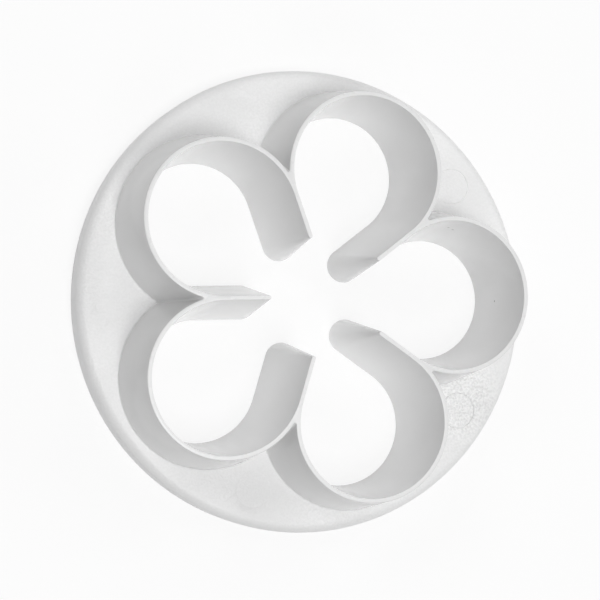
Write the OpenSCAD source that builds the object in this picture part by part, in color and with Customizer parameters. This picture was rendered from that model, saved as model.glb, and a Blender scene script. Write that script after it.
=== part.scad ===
// Five-petal flower cutter for rolled paste, one white plastic moulding.
// It rests on its flange with the cutting edges up.
// Z = 0 is the flat underside of the flange, the Z axis runs through the centre of the flower,
// and the first petal points along +X.

/* [Flower] */
// Width of the cut flower: twice the reach of a petal's cutting edge from the centre
flower_d = 52.3; // [46:0.1:64]
// Height of the cutting edge above the underside of the flange
cutter_h = 14.6; // [12:0.1:20]

/* [Petal walls] */
// Width of the flat land along the cutting edge
edge_land = 0.54; // [0.4:0.02:0.9]
// How far the foot of a wall stands out beyond its cutting edge
foot_spread = 1.6; // [1:0.05:2.5]
// How far the inside of a petal's tip comes in from the cutting edge down to the underside
tip_draft = 0.8; // [0.2:0.05:1.2]

/* [Dividers] */
// Width of a divider's cutting edge
divider_edge = 0.5; // [0.4:0.02:0.9]
// Width of a divider at the underside
divider_base = 4.5; // [3:0.1:5.4]
// Distance from the centre of the flower to the centre of a divider's rounded end
divider_reach = 8; // [6:0.1:9.5]

/* [Flange] */
// Thickness of the flange
flange_t = 4.4; // [3.5:0.1:7]
// Flat margin between the foot of a petal wall and the edge of the flange
flange_margin = 1.91; // [1.5:0.01:5]
// Rounding of the upper edge of the flange
edge_round = 1.3; // [0.3:0.1:1.5]

/* [Ejector marks] */
// Diameter of the round marks that the ejector pins left on the flange
mark_d = 4.6; // [3:0.1:5.4]
// Depth of an ejector mark
mark_depth = 0.1; // [0.05:0.01:0.3]
// Distance from the edge of the flange in to the centre of an ejector mark
mark_inset = 4.7; // [4.1:0.1:6]

/* [Hidden] */

$fn = 96;

petals = 5;
pitch = 360 / petals;
half_pitch = pitch / 2;

// A petal is a circle that touches the straight sides of its two dividers.
// These give the circle's centre distance and radius at the cutting edge and at the underside.
function petal_centre(reach, divider_w) = (reach + divider_w / 2) / (1 + sin(half_pitch));
top_reach = flower_d / 2;
base_reach = top_reach - tip_draft;
top_centre = petal_centre(top_reach, divider_edge);
base_centre = petal_centre(base_reach, divider_base);
top_r = top_reach - top_centre;
base_r = base_reach - base_centre;

// The inside of a petal is a cone that leans towards the centre of the flower.
// tip_angle and centre_angle are the slopes of its outermost and innermost lines.
tip_angle = atan((top_reach - base_reach) / cutter_h);
centre_angle = atan(((base_centre - base_r) - (top_centre - top_r)) / cutter_h);
cone_lean = (centre_angle - tip_angle) / 2;
cone_half_angle = (centre_angle + tip_angle) / 2;
apex_depth = base_r * cutter_h / (top_r - base_r);
apex_x = base_centre + (base_centre - top_centre) * apex_depth / cutter_h;

// The dividers join the petals on planes that lean with the petals' centres.
root_x = base_centre * cos(half_pitch);
root_lean = atan((base_centre - top_centre) * cos(half_pitch) / cutter_h);

wall_top_r = top_r + edge_land;
wall_foot_r = wall_top_r + foot_spread;
wall_h = cutter_h - flange_t;
flange_r = top_centre + wall_foot_r + flange_margin;

// How far a cutting solid runs past the faces it cuts
over = 2;
// A length longer than the whole cutter, for solids that fill one side of a plane
span = 4 * flange_r;

// Angle of petal i, and of the divider between petal i and the next one
function petal_angle(i) = pitch * (i - 1);
function divider_angle(i) = petal_angle(i) + half_pitch;

// The space inside petal i, from below the underside to above the cutting edge
module petal_space(i) {
    start = apex_depth - over;
    end = apex_depth + cutter_h + over;
    rotate([0, 0, petal_angle(i)])
        translate([apex_x, 0, -apex_depth])
            rotate([0, -cone_lean, 0])
                translate([0, 0, start])
                    cylinder(h = end - start, r1 = start * tan(cone_half_angle), r2 = end * tan(cone_half_angle));
}

// Everything on the centre's side of the plane where divider i is rooted
module centre_side(i) {
    rotate([0, 0, divider_angle(i)])
        translate([root_x, 0, 0])
            rotate([0, -root_lean, 0])
                translate([-span, -span / 2, -span / 2])
                    cube([span, span, span]);
}

// The open middle of the flower, with a flat side at each divider's root
module centre_space() {
    intersection_for (i = [1 : petals])
        centre_side(i);
}

// The slice of space that belongs to petal i
module petal_sector(i) {
    reach = span / cos(half_pitch);
    rotate([0, 0, petal_angle(i)])
        linear_extrude(height = span)
            polygon([
                [0, 0],
                [reach * cos(half_pitch), -reach * sin(half_pitch)],
                [reach * cos(half_pitch), reach * sin(half_pitch)]
            ]);
}

// Half of the flange's section, with the upper edge rounded
module flange_section() {
    square([flange_r - edge_round, flange_t]);
    square([flange_r, flange_t - edge_round]);
    intersection() {
        translate([flange_r - edge_round, flange_t - edge_round])
            circle(r = edge_round);
        square([flange_r, flange_t]);
    }
}

// The round plate that the fingers press on, open inside the petals and in the middle
module flange() {
    color([0.93, 0.93, 0.92])
        difference() {
            rotate_extrude()
                flange_section();
            for (i = [1 : petals]) {
                petal_space(i);
                rotate([0, 0, divider_angle(i)])
                    translate([flange_r - mark_inset, 0, flange_t - mark_depth])
                        cylinder(h = mark_depth + over, d = mark_d);
            }
            centre_space();
        }
}

// The wall round petal i, thick at its foot and thin along its cutting edge
module petal_wall(i) {
    color([0.96, 0.96, 0.95])
        difference() {
            intersection() {
                rotate([0, 0, petal_angle(i)])
                    translate([top_centre, 0, flange_t])
                        cylinder(h = wall_h, r1 = wall_foot_r, r2 = wall_top_r);
                petal_sector(i);
            }
            petal_space(i);
            centre_space();
        }
}

// The wedge that divides petal i from the next one, from its root to its rounded free end
module divider(i) {
    straight = root_x - divider_reach;
    color([0.90, 0.90, 0.89])
        rotate([0, 0, divider_angle(i)]) {
            translate([divider_reach, 0, 0]) {
                intersection() {
                    rotate([90, 0, 90])
                        linear_extrude(height = straight + over)
                            polygon([
                                [-divider_base / 2, 0],
                                [divider_base / 2, 0],
                                [divider_edge / 2, cutter_h],
                                [-divider_edge / 2, cutter_h]
                            ]);
                    translate([straight, 0, 0])
                        rotate([0, -root_lean, 0])
                            translate([-span, -span / 2, -span / 2])
                                cube([span, span, span]);
                }
                intersection() {
                    cylinder(h = cutter_h, d1 = divider_base, d2 = divider_edge);
                    translate([-divider_base, -divider_base, 0])
                        cube([divider_base, 2 * divider_base, cutter_h]);
                }
            }
        }
}

flange();
petal_wall(1);  // petal_wall_1
petal_wall(2);  // petal_wall_2
petal_wall(3);  // petal_wall_3
petal_wall(4);  // petal_wall_4
petal_wall(5);  // petal_wall_5
divider(1);  // divider_1
divider(2);  // divider_2
divider(3);  // divider_3
divider(4);  // divider_4
divider(5);  // divider_5
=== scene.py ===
# %% [markdown]
# Five-petal flower cutter. The real thing is one white plastic moulding: a round flange for the
# fingers, and on it a thin wall that follows a flower, for cutting shapes from rolled paste.
# This lesson builds it in Blender around the measured CAD model. The CAD model is loaded first
# and never moved. Each of its eleven regions gets a finer mesh here, with the small roundings,
# the lines round the ejector marks and the surface grain that the solids leave out.

# %% Load the measured model
import cmath
import math

import bmesh
import bpy
from mathutils import Matrix, Vector


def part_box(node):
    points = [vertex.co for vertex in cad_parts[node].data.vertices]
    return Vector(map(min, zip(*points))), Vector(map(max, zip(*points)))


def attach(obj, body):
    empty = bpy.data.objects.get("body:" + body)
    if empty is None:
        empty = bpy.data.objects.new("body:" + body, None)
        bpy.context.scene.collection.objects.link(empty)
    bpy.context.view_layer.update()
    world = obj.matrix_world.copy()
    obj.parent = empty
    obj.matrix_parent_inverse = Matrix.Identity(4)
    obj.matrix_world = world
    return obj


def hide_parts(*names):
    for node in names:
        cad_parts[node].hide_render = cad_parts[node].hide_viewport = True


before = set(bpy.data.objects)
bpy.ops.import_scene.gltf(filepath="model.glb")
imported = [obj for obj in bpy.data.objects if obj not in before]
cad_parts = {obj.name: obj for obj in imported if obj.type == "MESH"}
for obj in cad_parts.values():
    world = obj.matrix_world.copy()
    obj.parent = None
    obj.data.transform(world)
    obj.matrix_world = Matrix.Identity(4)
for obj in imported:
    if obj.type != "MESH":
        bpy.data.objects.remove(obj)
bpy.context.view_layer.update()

MM = 0.001                      # Blender works in metres


print("regions to dress:", len(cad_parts))

# %% [markdown]
# Every outline in this cutter comes from a handful of sizes. They are the same millimetres as
# in the CAD source. The height, the flange's width and its thickness are read from the loaded
# model instead, so a change there is noticed here.

# %% Sizes in millimetres
flange_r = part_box("flange")[1].x / MM
flange_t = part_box("flange")[1].z / MM
cutter_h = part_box("divider_1")[1].z / MM

petals = 5
pitch = 360 / petals
half_pitch = pitch / 2

flower_d = 52.3
edge_land = 0.54
foot_spread = 1.6
tip_draft = 0.8
divider_edge = 0.5
divider_base = 4.5
divider_reach = 8.0
edge_round = 1.3
mark_d = 4.6
mark_inset = 4.7

print("flange", round(flange_r * 2, 2), "mm wide and", round(flange_t, 2), "mm thick")
print("cutting edge", round(cutter_h, 2), "mm above the table")

# %% [markdown]
# These are too small for the solids, but the eye finds them at once when they are missing. No
# moulded edge is truly sharp: on the real cutter the land along the cutting edge is a flat strip
# half a millimetre wide, and its outer edge is a little rounder than its inner one. A tool that
# cuts a deep notch leaves its own radius in it, and the pins that push a moulding out leave a
# faint round line with a shallow disc inside. A Bevel modifier could round the edges, but it
# can't tell the joint between two regions from a real edge, so the outlines do it themselves.

# %% Small roundings in millimetres
land_round = 0.06               # along the cutting edge, on the inside of the petals
land_round_out = 0.12           # and on their outside
foot_round = 0.12               # where a wall stands on the flange
valley_round = 0.18             # in the notch between two petals
under_round = 0.12              # round the openings and the rim, on the underside
mark_line = 0.08                # half the width of the line round an ejector mark
mark_sink = 0.03                # how deep the disc inside that line lies

print("roundings from", land_round, "to", valley_round, "mm")

# %% [markdown]
# A petal is a circle that touches the straight sides of its two dividers, at every height. So
# one height gives one circle, and the inside of the cutter is a stack of such outlines. A point
# in plan is a complex number here: to turn it about the middle of the flower takes one product.

# %% Circles and dividers at any height
def between(low, high, share):
    """The value that lies at this share of the way from low to high."""
    return low + (high - low) * share


def petal_centre(reach, divider_w):
    """Centre distance of the circle that touches both dividers and reaches this far out."""
    return (reach + divider_w / 2) / (1 + math.sin(math.radians(half_pitch)))


top_centre = petal_centre(flower_d / 2, divider_edge)
base_centre = petal_centre(flower_d / 2 - tip_draft, divider_base)
top_r = flower_d / 2 - top_centre
base_r = flower_d / 2 - tip_draft - base_centre


def petal_circle(z):
    """Centre distance and radius of the inside of a petal at height z."""
    share = z / cutter_h
    return between(base_centre, top_centre, share), between(base_r, top_r, share)


def divider_half(z):
    """Half the width of a divider at height z."""
    return between(divider_base, divider_edge, z / cutter_h) / 2


for height in (0, flange_t, cutter_h):
    centre, radius = petal_circle(height)
    print(f"height {height:5.2f}: petal circle {radius:.2f} at {centre:.2f}, "
          f"divider {2 * divider_half(height):.2f} wide")

# %% [markdown]
# Next come the outlines themselves. Each takes a height and an amount to shrink the plastic by.
# Shrinking an outline a little from one ring to the next is what rounds an edge: the circles
# keep their centres and only their radii change, so the rounding is exact all the way round.
# The wall and the divider meet a little way along the flat side of the divider, not on the
# tangent line, so that the light runs over the joint without a step.

# %% Outlines in plan
PETAL_STEPS = 120
VALLEY_STEPS = 3
END_STEPS = 23
OUTSIDE_STEPS = PETAL_STEPS + 2 - 2 * (VALLEY_STEPS + 1)
joint_inset = 0.4


def turned(points, degrees):
    """The points turned about the middle of the flower."""
    turn = cmath.rect(1, math.radians(degrees))
    return [point * turn for point in points]


def arc(centre, radius, start, end, steps):
    """Points along an arc with both ends, angles in degrees."""
    angles = [math.radians(between(start, end, k / steps)) for k in range(steps + 1)]
    return [centre + cmath.rect(radius, angle) for angle in angles]


def joint_reach(z):
    """How far from the middle a divider meets its petal walls."""
    return petal_circle(z)[0] * math.cos(math.radians(half_pitch)) - joint_inset


def petal_inside(z, shrink=0.0):
    """The inside of the petal on +X, from one divider to the other."""
    centre, radius = petal_circle(z)
    # The arc ends where the circle touches its two dividers
    bend = arc(centre, radius + shrink, -90 - half_pitch, 90 + half_pitch, PETAL_STEPS)
    joint = turned([complex(joint_reach(z), shrink - divider_half(z))], half_pitch)
    return [joint[0].conjugate()] + bend + joint


def petal_outside(z, shrink=0.0):
    """The outside of the wall of the petal on +X, from one notch to the other."""
    wall_top = top_r + edge_land
    radius = between(wall_top + foot_spread, wall_top, (z - flange_t) / (cutter_h - flange_t))
    # A small circle in the notch touches this petal and the next. Its middle lies on the line
    # between the two petals, "notch" farther out than the middles of their circles.
    along = top_centre * math.cos(math.radians(half_pitch))
    across = top_centre * math.sin(math.radians(half_pitch))
    notch = math.sqrt((radius + valley_round) ** 2 - across ** 2)
    opening = math.degrees(math.atan2(across, notch))
    step = 2 * opening / (2 * VALLEY_STEPS + 1)
    bottom = valley_round + shrink
    hollow = arc(along + notch, bottom, 180 + step / 2, 180 + opening, VALLEY_STEPS)
    middle = along + notch - bottom * math.cos(math.radians(step / 2))
    upper = turned([complex(middle)] + hollow, half_pitch)
    lower = [point.conjugate() for point in upper]
    reach = half_pitch + opening
    bend = arc(top_centre, radius - shrink, -reach, reach, OUTSIDE_STEPS)
    return lower + bend[1:-1] + upper[::-1]


def divider_outline(z, shrink=0.0):
    """A divider that lies along +X, open at its root."""
    half = divider_half(z) - shrink
    root = joint_reach(z)
    free_end = arc(divider_reach, half, 90, 270, END_STEPS)
    return [complex(root, half)] + free_end + [complex(root, -half)]


print("points across one petal:", len(petal_inside(0)), "inside and",
      len(petal_outside(cutter_h)), "outside")

# %% [markdown]
# Three small helpers turn a stack of outlines into a closed skin. One lays a ring of corner
# points, one joins a ring to the next with four-sided faces, and one makes the skin into a piece
# that stands for its region. The caller closes the two ends. The normals are weighted by face
# size, so broad faces stay flat and only the narrow strips of a rounding bend the light. That is
# how a real rounded edge catches a thin highlight.

# %% A skin from a stack of rings
CREASE = math.radians(38)


def add_ring(bm, points, z):
    """One loop of corner points at height z, given in millimetres."""
    return [bm.verts.new((point.real * MM, point.imag * MM, z * MM)) for point in points]


def join_rings(bm, lower, upper):
    """Four-sided faces from one closed ring to the next."""
    for k in range(len(lower)):
        after = (k + 1) % len(lower)
        bm.faces.new((lower[k], lower[after], upper[after], upper[k]))


def finish_piece(bm, name, node):
    """The bmesh as a named object that stands for a CAD node."""
    bmesh.ops.recalc_face_normals(bm, faces=bm.faces)
    mesh = bpy.data.meshes.new(name)
    bm.to_mesh(mesh)
    open_edges = sum(1 for edge in bm.edges if len(edge.link_faces) != 2)
    bm.free()
    mesh.shade_smooth()
    mesh.set_sharp_from_angle(angle=CREASE)
    piece = bpy.data.objects.new(name, mesh)
    bpy.context.scene.collection.objects.link(piece)
    weighted = piece.modifiers.new("Weighted normals", "WEIGHTED_NORMAL")
    weighted.keep_sharp = True
    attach(piece, "root")
    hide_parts(node)
    print(f"{name}: {len(mesh.polygons)} faces, {open_edges} open edges")
    return piece


# %% [markdown]
# A rounded edge is a few rings close together. Each rises a little and shrinks a little more than
# the one before, along a quarter of a circle. Along the cutting edge the two sides of the land
# have different radii, so the rings share their heights and each side takes a shrink of its own.

# %% Rings for the rounded edges
ROUND_STEPS = 4
LAND_STEPS = 6


def rounding(radius, steps):
    """Rise and shrink of the rings that round an edge, from the wall to the flat."""
    turns = [math.radians(90 * k / steps) for k in range(steps + 1)]
    return [(radius * math.sin(t), radius * (1 - math.cos(t))) for t in turns]


def land_shrink(radius, z):
    """How much of the land's width the rounding of one side takes at height z."""
    left = min(radius, max(0.0, z - (cutter_h - radius)))
    return radius - math.sqrt(radius ** 2 - left ** 2)


under_rings = [(under_round - rise, shrink)
               for rise, shrink in reversed(rounding(under_round, ROUND_STEPS))]
land_heights = [cutter_h - land_round_out + rise
                for rise, shrink in rounding(land_round_out, LAND_STEPS)]
land_rings = [(z, land_shrink(land_round, z)) for z in land_heights]
print("rings on the underside:", len(under_rings), "and along the land:", len(land_rings))

# %% [markdown]
# The five dividers are wedges between the petals: 4.5 mm thick on the underside, half a
# millimetre along the cutting edge, with a round free end. A wedge could be a tapered box with
# half a cone on it. A stack of rings gives the same form in one skin, and the cutting edge and
# the edge on the underside get their roundings from the same rings.

# %% Dividers
def build_divider(number):
    """The wedge between one petal and the next."""
    bm = bmesh.new()
    angle = pitch * (number - 1) + half_pitch
    rings = [add_ring(bm, turned(divider_outline(z, shrink), angle), z)
             for z, shrink in under_rings + land_rings]
    for lower, upper in zip(rings, rings[1:]):
        join_rings(bm, lower, upper)
    # The underside and the cutting edge are closed with faces from one side to the other
    for ring in (rings[0], rings[-1]):
        for k in range(len(ring) // 2 - 1):
            bm.faces.new((ring[k], ring[k + 1], ring[-2 - k], ring[-1 - k]))
    return finish_piece(bm, f"divider_{number}_wedge", f"divider_{number}")


pieces = [build_divider(number) for number in range(1, petals + 1)]

# %% [markdown]
# A petal wall leans in on the outside and out on the inside, so it runs from a thick foot to a
# thin cutting edge. It could be one circle swept and tapered, but the notches between the petals
# move as the wall narrows. Twelve rings up the wall let the notch follow its true curve, and the
# notch keeps the small radius that shows in the photograph. Every point on the outside carries
# the number 1 in a mesh attribute, so that the plastic can tell the two sides of the wall apart.

# %% Petal walls
WALL_RINGS = 12
wall_low = flange_t + foot_round
wall_high = land_heights[0]
# Every ring is a height, the shrink of the inside and the shrink of the outside
foot_rings = [(wall_low - rise, 0.0, -shrink)
              for rise, shrink in reversed(rounding(foot_round, ROUND_STEPS))]
plain_rings = [(between(wall_low, wall_high, k / WALL_RINGS), 0.0, 0.0)
               for k in range(1, WALL_RINGS)]
edge_rings = [(z, shrink, land_shrink(land_round_out, z)) for z, shrink in land_rings]
wall_rings = foot_rings + plain_rings + edge_rings


def wall_ring(z, inside_shrink, outside_shrink):
    """The closed outline of one petal wall: inside, across the joint, outside, and back."""
    corner = turned([complex(joint_reach(z))], half_pitch)[0]
    inside = petal_inside(z, inside_shrink)
    outside = petal_outside(z, outside_shrink)
    return inside + [corner] + outside[::-1] + [corner.conjugate()]


def build_petal(number):
    """The wall round one petal, from its foot to its cutting edge."""
    bm = bmesh.new()
    outside = bm.verts.layers.float.new("outside")
    angle = pitch * (number - 1)
    rings = [add_ring(bm, turned(wall_ring(*row), angle), row[0]) for row in wall_rings]
    for lower, upper in zip(rings, rings[1:]):
        join_rings(bm, lower, upper)
    last = len(petal_inside(0)) - 1
    for ring in rings:
        for vert in ring[last + 1:]:
            vert[outside] = 1.0
    # The foot and the cutting edge are closed with faces from the inside to the outside, and
    # with a triangle at each joint
    for ring in (rings[0], rings[-1]):
        for k in range(last):
            far = 2 * (last + 1) - k
            bm.faces.new((ring[k], ring[k + 1], ring[far - 1], ring[far]))
        bm.faces.new((ring[0], ring[-2], ring[-1]))
        bm.faces.new((ring[last], ring[last + 1], ring[last + 2]))
    return finish_piece(bm, f"petal_{number}_wall", f"petal_wall_{number}")


pieces += [build_petal(number) for number in range(1, petals + 1)]

# %% [markdown]
# The flange is the plate that the fingers press on. Its rim is rounded on top, its openings
# carry on the petals' inside down to the table, and in each of the five broad corners an ejector
# pin has left its mark: a shallow disc inside a thin line. Two of the lines show clearly in the
# photograph and three hardly at all, so each has a depth of its own. The marks could be cut with
# a Boolean modifier, but the flat faces between the loops are easily filled by Blender from the
# loops themselves, which leaves no face under another and no ragged edge. The rim counts as an
# outside too.

# %% Flange
RIM_STEPS = 240
RIM_ROUND_STEPS = 8
MARK_STEPS = 48
# The mark between petals 1 and 2 comes first
MARK_LINE_DEPTHS = [0.09, 0.03, 0.02, 0.03, 0.15]


def opening_outline(z, shrink=0.0):
    """The edge of the whole opening through the flange."""
    petal = petal_inside(z, shrink)
    return [point for k in range(petals) for point in turned(petal, pitch * k)]


def round_outline(radius, centre=0, steps=RIM_STEPS):
    """A full circle."""
    return arc(centre, radius, 0, 360, steps)[:-1]


def ring_edges(bm, ring):
    """The edges along a loop of corner points."""
    return [bm.edges.get((ring[k - 1], ring[k])) for k in range(len(ring))]


def build_mark(bm, number):
    """Sinks one ejector mark into the top of the flange and gives back its outer loop."""
    centre = cmath.rect(flange_r - mark_inset, math.radians(pitch * number + half_pitch))
    line_depth = MARK_LINE_DEPTHS[number]
    profile = [(mark_d / 2 + mark_line, 0),
               (mark_d / 2, line_depth),
               (mark_d / 2 - mark_line, min(mark_sink, line_depth))]
    rings = [add_ring(bm, round_outline(radius, centre, MARK_STEPS), flange_t - depth)
             for radius, depth in profile]
    for outer, inner in zip(rings, rings[1:]):
        join_rings(bm, outer, inner)
    bm.faces.new(rings[-1])
    return rings[0]


def build_flange():
    """The round plate with its openings, its rim and its five marks."""
    bm = bmesh.new()
    outside = bm.verts.layers.float.new("outside")
    inside_rings = under_rings + [(flange_t, 0.0)]
    rim_rings = under_rings + [(flange_t - edge_round + rise, shrink)
                               for rise, shrink in rounding(edge_round, RIM_ROUND_STEPS)]
    inside = [add_ring(bm, opening_outline(z, shrink), z) for z, shrink in inside_rings]
    rim = [add_ring(bm, round_outline(flange_r - shrink), z) for z, shrink in rim_rings]
    for ring in rim:
        for vert in ring:
            vert[outside] = 1.0
    for stack in (inside, rim):
        for lower, upper in zip(stack, stack[1:]):
            join_rings(bm, lower, upper)
    marks = [build_mark(bm, number) for number in range(petals)]
    for loops in ([inside[0], rim[0]], [inside[-1], rim[-1]] + marks):
        edges = [edge for loop in loops for edge in ring_edges(bm, loop)]
        bmesh.ops.triangle_fill(bm, use_beauty=True, edges=edges)
    return finish_piece(bm, "flange_plate", "flange")


pieces.append(build_flange())

# %% [markdown]
# The plastic is one white resin with two surfaces. The walls were polished in the tool, so that
# paste lets go of them, and they mirror each other a little. The top of the flange was spark
# eroded, which leaves a fine grain. Two materials could do it, but the resin runs through from
# one region to the next, so there is one material, and the height of a face and the direction
# that it looks in decide its surface. These helpers keep the node code short.

# %% Node helpers
def add_node(tree, kind, sockets=None, **settings):
    """A shader node with its settings and the values of its input sockets."""
    node = tree.nodes.new("ShaderNode" + kind)
    for name, value in settings.items():
        setattr(node, name, value)
    for name, value in (sockets or {}).items():
        node.inputs[name].default_value = value
    return node


def add_range(tree, value, low, high, to_low=0.0, to_high=1.0):
    """Turns a value between low and high into one between to_low and to_high."""
    node = add_node(tree, "MapRange", {"From Min": low, "From Max": high,
                                       "To Min": to_low, "To Max": to_high})
    tree.links.new(value, node.inputs["Value"])
    return node.outputs["Result"]


def add_math(tree, operation, first, second):
    """The sum, the product or the larger of two values."""
    node = add_node(tree, "Math", operation=operation)
    tree.links.new(first, node.inputs[0])
    tree.links.new(second, node.inputs[1])
    return node.outputs["Value"]


def add_noise(tree, place, size, detail, band, to_low=0.0, to_high=1.0):
    """Noise with blobs this many millimetres wide. The band of its values is stretched."""
    noise = add_node(tree, "TexNoise", {"Scale": 1 / (size * MM), "Detail": detail})
    tree.links.new(place, noise.inputs["Vector"])
    return add_range(tree, noise.outputs["Fac"], *band, to_low, to_high)


def add_mix(tree, share, first, second):
    """A colour between two, each a socket or a fixed colour."""
    mix = add_node(tree, "Mix", data_type="RGBA")
    tree.links.new(share, mix.inputs["Factor"])
    for socket, colour in ((mix.inputs[6], first), (mix.inputs[7], second)):
        if isinstance(colour, tuple):
            socket.default_value = colour
        else:
            tree.links.new(colour, socket)
    return mix.outputs[2]


def add_spot(tree, place, centre, inner, outer):
    """1 near a point on the object, fading to 0 at the outer distance, all in millimetres."""
    gap = add_node(tree, "VectorMath", operation="DISTANCE")
    gap.inputs[1].default_value = [value * MM for value in centre]
    tree.links.new(place, gap.inputs[0])
    return add_range(tree, gap.outputs["Value"], inner * MM, outer * MM, 1.0, 0.0)


# %% [markdown]
# The colour is never one flat white. It clouds a little, as a melt does where it cooled
# unevenly. Up the wall, where it gets thin, the white is painted greyer, more on the outside than
# on the inside. This is painted shade that stands in for the light a thin white wall lets out on
# its other side, and for the shade on the outer walls. A few specks of burnt resin are caught in
# the petal on the right. Subsurface scattering could find the light's way through the wall, but
# it is slow and hard to carry over to other programs, so the height and the side of the wall mix
# the painted greys instead. All of it is driven by the place on the object, so nothing slides
# when the view moves.

# %% Colour of the resin
RESIN_WHITE = (0.875, 0.875, 0.875, 1)
# Painted shade: greys for the top of the thin wall, inside and outside, in place of light through
# the wall and the shade on the outer walls
RESIN_SHADE_THIN_IN = (0.85, 0.85, 0.85, 1)
RESIN_SHADE_THIN_OUT = (0.70, 0.70, 0.70, 1)
RESIN_CLOUD = (0.92, 0.92, 0.92, 1)
RESIN_BURNT = (0.36, 0.36, 0.35, 1)
cloud_size = 9
cloud_detail = 3.0
CLOUD_BAND = (0.35, 0.75)
cloud_share = 0.3               # how much of the cloud's colour shows at most
SPECK_CORE = 0.4                # a speck is darkest up to this part of its radius
SPECK_FADE = 1.4                # and has faded out here
# Place and radius of each speck in millimetres
SPECKS = [((17.75, 9.0, 10.06), 0.15), ((18.68, 8.78, 9.25), 0.16), ((15.02, 10.2, 12.9), 0.15),
          ((25.67, -0.54, 6.06), 0.13)]
print("specks of burnt resin:", len(SPECKS))


def resin_colour(tree, place, height, upright, outside):
    """The colour at a place, before the grain is added."""
    up_the_wall = add_range(tree, height, flange_t * MM, cutter_h * MM)
    # Painted shade: the white greys up the wall, more on its outside
    thin_shade_share = add_math(tree, "MULTIPLY", upright, up_the_wall)
    thin_shade_grey = add_mix(tree, outside, RESIN_SHADE_THIN_IN, RESIN_SHADE_THIN_OUT)
    colour = add_mix(tree, thin_shade_share, RESIN_WHITE, thin_shade_grey)
    cloud = add_noise(tree, place, cloud_size, cloud_detail, CLOUD_BAND, 0.0, cloud_share)
    colour = add_mix(tree, cloud, colour, RESIN_CLOUD)
    for centre, radius in SPECKS:
        speck = add_spot(tree, place, centre, radius * SPECK_CORE, radius * SPECK_FADE)
        colour = add_mix(tree, speck, colour, RESIN_BURNT)
    return colour


# %% [markdown]
# The grain is finer than any mesh should be, so it is bump: random pits a third of a millimetre
# wide. A pit is also painted a shade darker, as painted shade for the little light that finds
# its way into it, and a peak is painted paler, as a painted glint. A switch keeps the grain to
# the top of the flange, and its depth changes in patches, since the electrode that sparked the
# tool wore unevenly. In the corner below the right petal, where the grain shows most, one spot
# has the full depth, and with it the strongest painted shade and glints.

# %% Grain of the surface
grain_size = 0.31
grain_detail = 1.0
GRAIN_BAND = (0.33, 0.67)
grain_depth = 0.08
patch_size = 16
patch_detail = 2.0
PATCH_BAND = (0.35, 0.65)
PATCH_DEPTHS = (0.12, 0.3)      # shares of the full depth
# Middle of the spot with the deepest grain and the strongest painted shade and glints
GRAIN_AND_GLINT_CORNER = (20.6, -13.2, 4.4)
CORNER_CORE = 3.5               # the full depth reaches this far from the corner's middle
CORNER_FADE = 8.0               # and has faded out here
# Painted shade in the pits and painted glints on the peaks of the grain
RESIN_PIT_SHADE = (0.82, 0.82, 0.82, 1)
RESIN_PEAK_GLINT = (1.0, 1.0, 1.0, 1)
print("grain", grain_size, "mm wide and up to", grain_depth, "mm deep")


def grain_and_glint_depth(tree, place, sparked):
    """How deep the grain and its painted shade and glints are, from 0 to 1: patches on the
    flange, and the corner below the right petal.
    """
    patches = add_noise(tree, place, patch_size, patch_detail, PATCH_BAND, *PATCH_DEPTHS)
    corner = add_spot(tree, place, GRAIN_AND_GLINT_CORNER, CORNER_CORE, CORNER_FADE)
    return add_math(tree, "MULTIPLY", sparked, add_math(tree, "MAXIMUM", patches, corner))


def resin_grain(tree, pits, depth):
    """The pits as a bump."""
    bump = add_node(tree, "Bump", {"Strength": 1.0, "Distance": grain_depth * MM})
    tree.links.new(add_math(tree, "MULTIPLY", pits, depth), bump.inputs["Height"])
    return bump.outputs["Normal"]


def pit_shade_and_glint_colour(tree, colour, pits, depth):
    """Painted shade at the bottom of a pit, where less light gets in, and a painted glint on the
    peaks.
    """
    shade = add_mix(tree, pits, RESIN_PIT_SHADE, RESIN_PEAK_GLINT)
    return add_mix(tree, depth, colour, shade)


# %% [markdown]
# Now the finish comes together. Two switches tell the surfaces apart: "level" is on where a face
# looks up, and "low" is on up to just above the flange. Where both are on, the plastic is
# sparked, so it is rough and pitted, and the rim is as rough but not pitted. The walls are
# polished, with a faint smear in their gloss, and the narrow land along the cutting edge lies
# between the two. It could be three materials on three sets of faces, but at a rounding one
# surface runs into the next, and a range does that by itself.

# %% Plastic
ROUGH_POLISHED = 0.10
ROUGH_LAND = 0.25
ROUGH_SPARKED = 0.40
smear_size = 4
smear_detail = 3.0
SMEAR_BAND = (0.3, 0.7)
smear_rough = 0.05
FACING_UP = (0.2, 0.9)          # how far a face's direction points up, from not at all to fully
LOW_TOP = (0.1, 0.3)            # "low" fades out this far above the flange
# Painted shade: the land keeps a little of the greying of the thin wall
SHADE_ON_LAND = 0.3              # how much of the greying the land keeps


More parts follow.
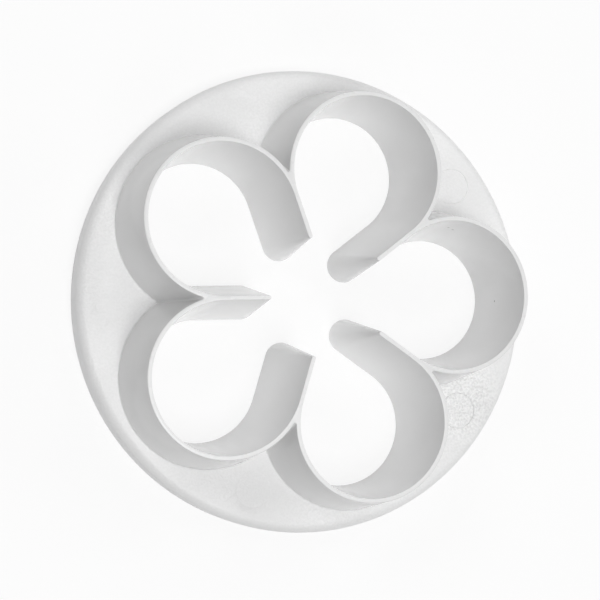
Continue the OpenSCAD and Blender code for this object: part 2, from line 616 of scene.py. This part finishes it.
def build_plastic():
    """The one material of the whole moulding."""
    plastic = bpy.data.materials.new("white_moulded_plastic")
    plastic.use_nodes = True
    tree = plastic.node_tree
    shader = tree.nodes["Principled BSDF"]
    where = add_node(tree, "TexCoord")
    place = where.outputs["Object"]
    height = add_node(tree, "SeparateXYZ")
    facing = add_node(tree, "SeparateXYZ")
    tree.links.new(place, height.inputs["Vector"])
    tree.links.new(where.outputs["Normal"], facing.inputs["Vector"])
    outside = add_node(tree, "Attribute", attribute_name="outside").outputs["Fac"]

    level = add_range(tree, facing.outputs["Z"], *FACING_UP)
    low_from, low_to = [(flange_t + above) * MM for above in LOW_TOP]
    low = add_range(tree, height.outputs["Z"], low_from, low_to, 1.0, 0.0)
    sparked = add_math(tree, "MULTIPLY", level, low)
    pits = add_noise(tree, place, grain_size, grain_detail, GRAIN_BAND)
    depth = grain_and_glint_depth(tree, place, sparked)
    upright = add_range(tree, facing.outputs["Z"], *FACING_UP, 1.0, SHADE_ON_LAND)
    colour = resin_colour(tree, place, height.outputs["Z"], upright, outside)
    # Painted shade in the pits and painted glints on the peaks go into the colour
    tree.links.new(pit_shade_and_glint_colour(tree, colour, pits, depth), shader.inputs["Base Color"])
    tree.links.new(resin_grain(tree, pits, depth), shader.inputs["Normal"])
    dull = add_math(tree, "MAXIMUM", level, add_math(tree, "MULTIPLY", outside, low))
    duller = add_math(tree, "MULTIPLY", dull, low)
    land_part = add_range(tree, dull, 0.0, 1.0, ROUGH_POLISHED, ROUGH_LAND)
    sparked_part = add_range(tree, duller, 0.0, 1.0, 0.0, ROUGH_SPARKED - ROUGH_LAND)
    smear = add_noise(tree, place, smear_size, smear_detail, SMEAR_BAND, 0.0, smear_rough)
    rough = add_math(tree, "ADD", add_math(tree, "ADD", sparked_part, land_part), smear)
    tree.links.new(rough, shader.inputs["Roughness"])
    print("nodes in the plastic:", len(tree.nodes))
    return plastic


white_plastic = build_plastic()
for piece in pieces:
    piece.data.materials.append(white_plastic)

# %% [markdown]
# The cutter lies on a white table. In the photograph the ground is pure white right up to the
# object, which a lit table can't quite be. More light would do it, but it would also bleach the
# plastic. So the table stays an ordinary white surface for the light that bounces between it and
# the plastic, and only what the camera sees of it is lifted towards white. A light touch of the
# object's shadow is left, so it doesn't seem to float. The polished walls mirror the table at
# half that white, which keeps their greys as deep as in the photograph.

# %% Table
TABLE_WHITE = (0.97, 0.97, 0.97, 1)
table_rough = 0.9
table_half_width = 3.0          # in metres
table_lift = 0.82               # how far the camera sees it lifted towards white
mirrored_white = 0.5            # how white the table and the room are in the plastic's gloss


def add_seen(tree, plain, seen, mirrored):
    """One value for plain light, one for what the camera sees, and one for what gloss mirrors."""
    ray = add_node(tree, "LightPath")
    eye = add_math(tree, "MAXIMUM", ray.outputs["Is Camera Ray"],
                   ray.outputs["Is Transmission Ray"])
    eye = add_range(tree, eye, 0.0, 1.0, plain, seen)
    gloss = add_range(tree, ray.outputs["Is Glossy Ray"], 0.0, 1.0, 0.0, mirrored)
    return add_math(tree, "MAXIMUM", eye, gloss)


def build_table_paint():
    """Plain white paint, lifted for the camera and for gloss only."""
    paint = bpy.data.materials.new("white_table")
    paint.use_nodes = True
    tree = paint.node_tree
    shader = tree.nodes["Principled BSDF"]
    shader.inputs["Base Color"].default_value = TABLE_WHITE
    shader.inputs["Roughness"].default_value = table_rough
    shader.inputs["Specular IOR Level"].default_value = 0.0
    glow = add_node(tree, "Emission", {"Color": (1, 1, 1, 1), "Strength": 1.0})
    mix = add_node(tree, "MixShader")
    tree.links.new(add_seen(tree, 0.0, table_lift, mirrored_white), mix.inputs["Fac"])
    tree.links.new(shader.outputs["BSDF"], mix.inputs[1])
    tree.links.new(glow.outputs["Emission"], mix.inputs[2])
    tree.links.new(mix.outputs["Shader"], tree.nodes["Material Output"].inputs["Surface"])
    return paint


def build_table(half):
    """A flat square table, centred under the cutter."""
    bm = bmesh.new()
    corners = [(-half, -half, 0), (half, -half, 0), (half, half, 0), (-half, half, 0)]
    bm.faces.new([bm.verts.new(corner) for corner in corners])
    mesh = bpy.data.meshes.new("table")
    bm.to_mesh(mesh)
    bm.free()
    table = bpy.data.objects.new("table", mesh)
    bpy.context.scene.collection.objects.link(table)
    mesh.materials.append(build_table_paint())
    return table


table = build_table(table_half_width)
print("table width in m:", table.dimensions.x)

# %% [markdown]
# White on white is drawn by its shades alone, so the lamps do the modelling. One softbox hangs
# almost overhead, a little to the near side, and lights the flange. Five weaker ones stand round
# the table: the walls that turn away from them go grey, and each petal throws a soft band of
# shade on the flange behind it. One big dome light would be simpler, but it wipes these bands
# out. Each lamp was rendered alone, and the strengths were weighed until the shades agreed with
# the photograph. They keep every surface below pure white, so no edge is lost. The white room
# round the table shows as pure white behind it, and adds a little light from all sides.

# %% Lamps
lamp_distance = 0.6             # in metres
lamp_width = 0.2
room_light = 0.12               # what the white room itself adds, from all sides
# Name, direction round the table from +X and height above it in degrees, strength in watts
LAMPS = [
    ("overhead_softbox", 270, 78, 1.53),
    ("right_softbox", 0, 28, 0.49),
    ("far_right_softbox", 45, 45, 0.41),
    ("far_softbox", 90, 28, 0.33),
    ("far_left_softbox", 135, 45, 0.48),
    ("near_softbox", 270, 45, 0.41),
]


def add_softbox(name, around, above, watts):
    """A square lamp on a sphere round the cutter, aimed at it."""
    away = Vector((math.cos(math.radians(around)), math.sin(math.radians(around)), 0))
    place = away * math.cos(math.radians(above)) + Vector((0, 0, math.sin(math.radians(above))))
    lamp = bpy.data.lights.new(name, "AREA")
    lamp.shape = "SQUARE"
    lamp.size = lamp_width
    lamp.energy = watts
    stand = bpy.data.objects.new(name, lamp)
    stand.location = place * lamp_distance
    stand.rotation_mode = "QUATERNION"
    stand.rotation_quaternion = place.to_track_quat("Z", "Y")
    bpy.context.scene.collection.objects.link(stand)


def build_world():
    """The white room round the table."""
    world = bpy.data.worlds.new("white_room")
    world.use_nodes = True
    tree = world.node_tree
    room = tree.nodes["Background"]
    room.inputs["Color"].default_value = (1, 1, 1, 1)
    tree.links.new(add_seen(tree, room_light, 1.0, mirrored_white), room.inputs["Strength"])
    bpy.context.scene.world = world


for row in LAMPS:
    add_softbox(*row)
build_world()
print("lamps:", len(LAMPS), "with", round(sum(row[3] for row in LAMPS), 2), "watts in all")

# %% [markdown]
# The photograph was taken from about 23 cm, almost straight above and a little from the left,
# so the walls on the left show their outside. Where the camera stood, its aim, its roll and its
# lens come from fitting the cutter's outlines to the edges in the photograph. A Track To
# constraint could aim the camera, but it can't roll it, so the camera's three directions are
# worked out from its aim and then turned by the roll.

# %% Camera
camera_place = Vector((-66.19, -8.63, 218.28)) * MM
camera_aim = Vector((0.37, 0.22, 0)) * MM
camera_roll = math.radians(-1.456)
sensor_width = 36.0             # in millimetres, as camera makers give it
focal_length = 103.29
near_limit = 0.01               # in metres
far_limit = 10

lens = bpy.data.cameras.new("camera")
lens.sensor_fit = "HORIZONTAL"
lens.sensor_width = sensor_width
lens.lens = focal_length
lens.clip_start = near_limit
lens.clip_end = far_limit
camera = bpy.data.objects.new("camera", lens)
forward = (camera_aim - camera_place).normalized()
right = forward.cross(Vector((0, 1, 0))).normalized()
up = right.cross(forward)
turn = Matrix((right, up, -forward)).transposed() @ Matrix.Rotation(camera_roll, 3, "Z")
camera.matrix_world = Matrix.Translation(camera_place) @ turn.to_4x4()
bpy.context.scene.collection.objects.link(camera)
bpy.context.scene.camera = camera
bpy.context.scene.view_settings.view_transform = "Standard"
print("camera", round((camera_aim - camera_place).length, 3), "m from what it looks at")

# %% [markdown]
# Dressing the solids must not make the cutter larger or smaller. The last step brings the
# scene up to date.

# %% Bring the scene up to date
bpy.context.view_layer.update()
